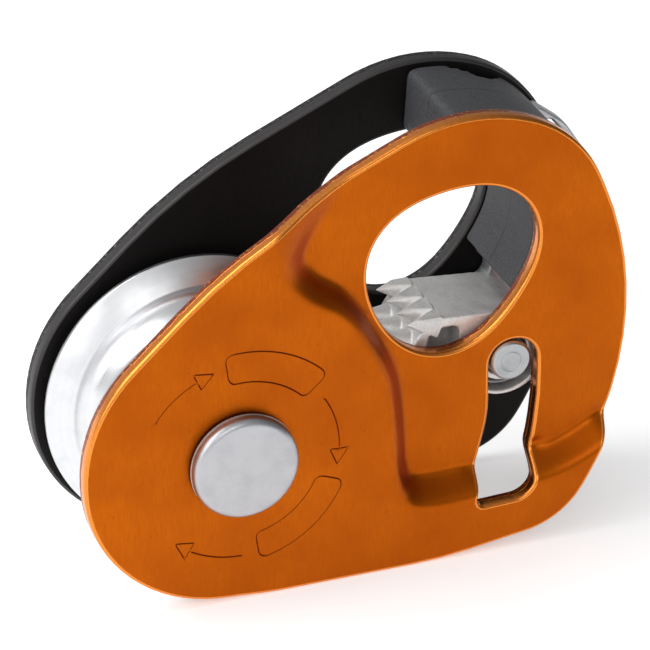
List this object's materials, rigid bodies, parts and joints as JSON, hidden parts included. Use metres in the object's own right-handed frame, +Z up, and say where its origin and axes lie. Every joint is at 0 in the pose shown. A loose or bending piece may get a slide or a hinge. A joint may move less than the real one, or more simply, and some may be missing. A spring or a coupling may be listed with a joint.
{
  "type": "rope pulley",
  "caption": "Small rope pulley with a ball-bearing sheave between two metal side plates, a swinging front plate and a sprung toothed cam that holds the rope.",
  "frame": {"origin": "centre of the object's box in plan, on the surface that the side plates' bottom edges stand on", "axes": "+X along the straight bottom edges from the sheave towards the cam pin, +Y from the swinging front plate to the fixed back plate, along the sheave's axle, +Z up"},
  "size_m": [0.0694, 0.0254, 0.0549],
  "materials": {
    "orange_anodised": "satin orange anodised",
    "black_anodised": "satin black anodised",
    "turned_aluminium": "fine turned",
    "satin_steel": "satin turned",
    "lever_steel": "tumbled and polished",
    "cast_steel": "matte investment cast",
    "bearing_steel": "ground and polished",
    "spring_steel": "drawn wire",
    "cage_brass": "machined",
    "black_plastic": "grained moulding",
    "seal_rubber": "matte"
  },
  "bodies": {
    "frame": {"back_plate": "black_anodised", "axle_rivet": "satin_steel", "back_rivet_head": "satin_steel", "axle_sleeve": "satin_steel", "front_spacer": "satin_steel", "back_spacer": "satin_steel", "bearing_inner_ring": "bearing_steel", "hub_block": "black_plastic", "hub_rivet_1": "satin_steel", "hub_rivet_2": "satin_steel", "cam_pin": "satin_steel", "cam_spring": "spring_steel"},
    "wheel": {"sheave": "turned_aluminium", "bearing_outer_ring": "bearing_steel", "front_seal": "seal_rubber", "back_seal": "seal_rubber"},
    "ball_set": {"ball_cage": "cage_brass", "bearing_ball_1": "bearing_steel", "bearing_ball_2": "bearing_steel", "bearing_ball_3": "bearing_steel", "bearing_ball_4": "bearing_steel", "bearing_ball_5": "bearing_steel", "bearing_ball_6": "bearing_steel", "bearing_ball_7": "bearing_steel", "bearing_ball_8": "bearing_steel"},
    "side_plate": {"front_plate": "orange_anodised"},
    "cam_lever": {"cam": "cast_steel", "release_lever": "lever_steel"}
  },
  "joints": [
    {"name": "sheave_spin", "type": "hinge", "parent": "frame", "child": "wheel", "pos_m": [-0.01592, 0, 0.018], "axis": [0, 1, 0], "continuous": true},
    {"name": "ball_orbit", "type": "hinge", "parent": "frame", "child": "ball_set", "pos_m": [-0.01592, 0, 0.018], "axis": [0, 1, 0], "continuous": true},
    {"name": "plate_swing", "type": "hinge", "parent": "frame", "child": "side_plate", "pos_m": [-0.01592, 0, 0.018], "axis": [0, -1, 0], "range_deg": [0, 285]},
    {"name": "cam_swing", "type": "hinge", "parent": "frame", "child": "cam_lever", "pos_m": [0.01848, 0, 0.0227], "axis": [0, 1, 0], "range_deg": [0, 27], "stiffness_Nm_per_rad": 0.02, "springref_deg": -28.65}
  ],
  "couplings": [
    {"joint": "ball_orbit", "follows": "sheave_spin", "ratio": 0.6185}
  ]
}
